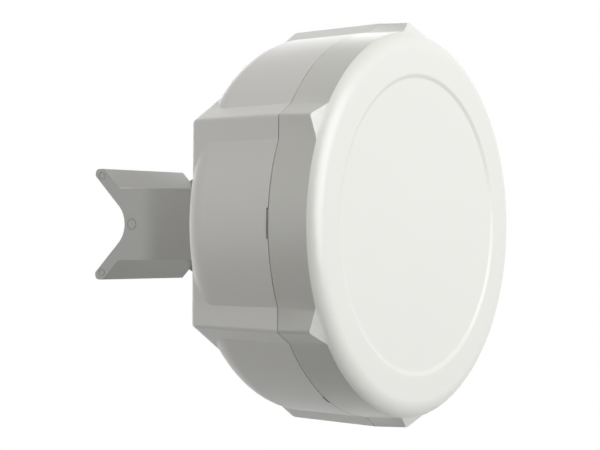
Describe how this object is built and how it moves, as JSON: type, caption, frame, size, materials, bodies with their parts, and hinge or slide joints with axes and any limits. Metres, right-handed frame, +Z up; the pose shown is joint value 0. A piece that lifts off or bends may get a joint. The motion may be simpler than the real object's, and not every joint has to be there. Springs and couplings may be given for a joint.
{
  "type": "flat panel outdoor radio antenna",
  "caption": "Hexagonal flat panel outdoor radio antenna with a round white radome, a cable door at the side and a tilting V-jaw mast bracket behind.",
  "frame": {"origin": "on the axis of the pole saddle, midway along the jaws: the axis of the smallest pole the notch takes", "axes": "-Y is the direction the antenna looks, from the pole to the radome; +Z is up as the unit is drawn, through two corners of the hexagon; +X is along the pole and towards the cable door. On an upright mast +X points down."},
  "size_m": [0.1354, 0.1247, 0.14],
  "materials": {
    "radome_white": "smooth satin moulded white, fine texture on the rim",
    "housing_grey": "light warm grey moulded, fine spark texture",
    "bracket_grey": "mid grey moulded, satin",
    "soft_rubber": "matt black",
    "tray_aluminium": "as rolled sheet",
    "zinc_steel": "zinc plated",
    "shield_steel": "tinned sheet",
    "jack_shell": "nickel plated",
    "green_board": "solder mask",
    "spacer_nylon": "natural nylon",
    "patch_brass": "bright sheet",
    "gold_contact": "gold plated",
    "black_resin": "moulded resin",
    "capacitor_can": "aluminium can",
    "led_white": "clear resin over a chip",
    "clear_pipe": "clear polycarbonate",
    "button_red": "moulded",
    "bolt_steel": "stainless"
  },
  "bodies": {
    "bracket": {"mast_bracket": "bracket_grey"},
    "antenna": {"front_cover": "radome_white", "rear_housing": "housing_grey", "cover_gasket": "soft_rubber", "reflector_tray": "tray_aluminium", "tray_screws": "zinc_steel", "feed_screws": "zinc_steel", "board_screws": "zinc_steel", "rf_shield": "shield_steel", "ethernet_jack": "jack_shell", "feed_board": "green_board", "main_board": "green_board", "feed_spacers": "spacer_nylon", "patch_posts": "spacer_nylon", "patch_plates": "patch_brass", "feed_pins": "patch_brass", "jack_contacts": "gold_contact", "processor": "black_resin", "memory_chip": "black_resin", "line_transformer": "black_resin", "reset_switch": "black_resin", "capacitors": "capacitor_can", "status_leds": "led_white", "light_pipe": "clear_pipe", "pivot_bolt": "bolt_steel", "pivot_nut": "bolt_steel", "pivot_washers": "bolt_steel"},
    "door": {"cable_door": "housing_grey", "cable_grommet": "soft_rubber"},
    "button": {"reset_button": "button_red"}
  },
  "joints": [
    {"name": "bracket_tilt", "type": "hinge", "parent": "bracket", "child": "antenna", "pos_m": [0, -0.0509, 0], "axis": [0, 0, 1], "range_deg": [-30, 30]},
    {"name": "door_slide", "type": "slide", "parent": "antenna", "child": "door", "axis": [1, 0, 0], "range_m": [0, 0.036]},
    {"name": "reset_press", "type": "slide", "parent": "antenna", "child": "button", "axis": [0, -1, 0], "range_m": [0, 0.0005], "stiffness_N_per_m": 400, "springref_m": -0.0005}
  ]
}
